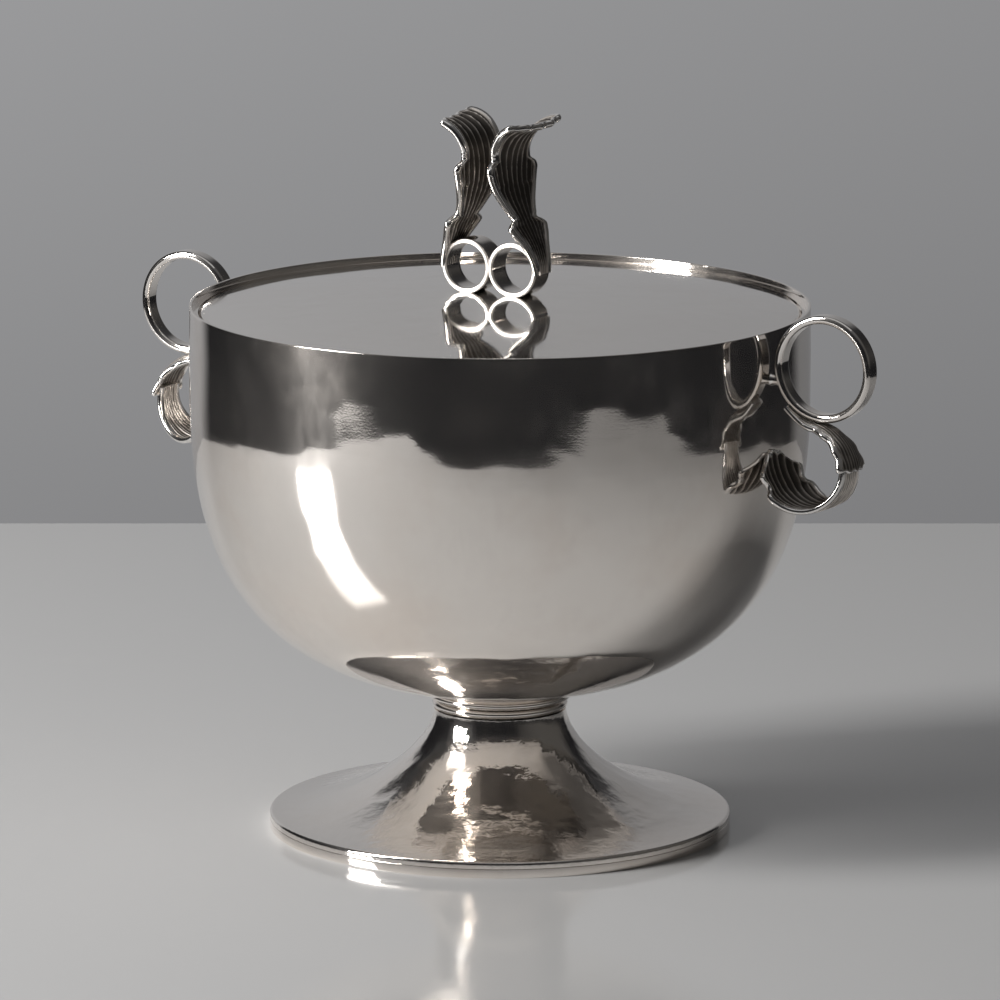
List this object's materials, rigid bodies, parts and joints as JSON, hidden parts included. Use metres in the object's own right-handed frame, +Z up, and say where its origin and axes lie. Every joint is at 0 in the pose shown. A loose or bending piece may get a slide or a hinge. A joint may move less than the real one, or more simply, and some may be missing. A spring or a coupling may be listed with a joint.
{
  "type": "footed sugar bowl with lid",
  "caption": "Footed covered sugar bowl of polished silver, with ring and fluted leaf handles, a lid set down inside the rim and a finial of rings and leaves.",
  "frame": {"origin": "middle of the foot's underside, on the surface that the bowl stands on", "axes": "+Z up through the finial; +X along the line through the two handles; +Y across it"},
  "size_m": [0.15, 0.11, 0.1275],
  "materials": {
    "polished_silver": "mirror-polished silver with fine polishing lines and faint warm tarnish",
    "hammered_silver": "polished silver with soft hammer facets",
    "oxidised_silver": "cast silver leaves, bright on the ridges and oxidised dark in the flutes"
  },
  "bodies": {
    "bowl": {"bowl_body": "polished_silver", "rim_wire": "polished_silver", "lid_seat": "polished_silver", "collar_upper": "polished_silver", "collar_lower": "polished_silver", "foot_trumpet": "hammered_silver", "foot_edge": "polished_silver", "handle_ring_right": "polished_silver", "handle_peg_right": "polished_silver", "sheath_leaf_right": "oxidised_silver", "scroll_leaf_right": "oxidised_silver", "handle_ring_left": "polished_silver", "handle_peg_left": "polished_silver", "sheath_leaf_left": "oxidised_silver", "scroll_leaf_left": "oxidised_silver"},
    "lid": {"lid_plate": "polished_silver", "lid_flange": "polished_silver", "finial_ring_right": "polished_silver", "finial_ring_left": "polished_silver", "finial_leaf_right": "oxidised_silver", "finial_leaf_left": "oxidised_silver"}
  },
  "joints": [
    {"name": "lid_lift", "type": "slide", "parent": "bowl", "child": "lid", "axis": [0, 0, 1], "range_m": [0, 0.08]}
  ]
}
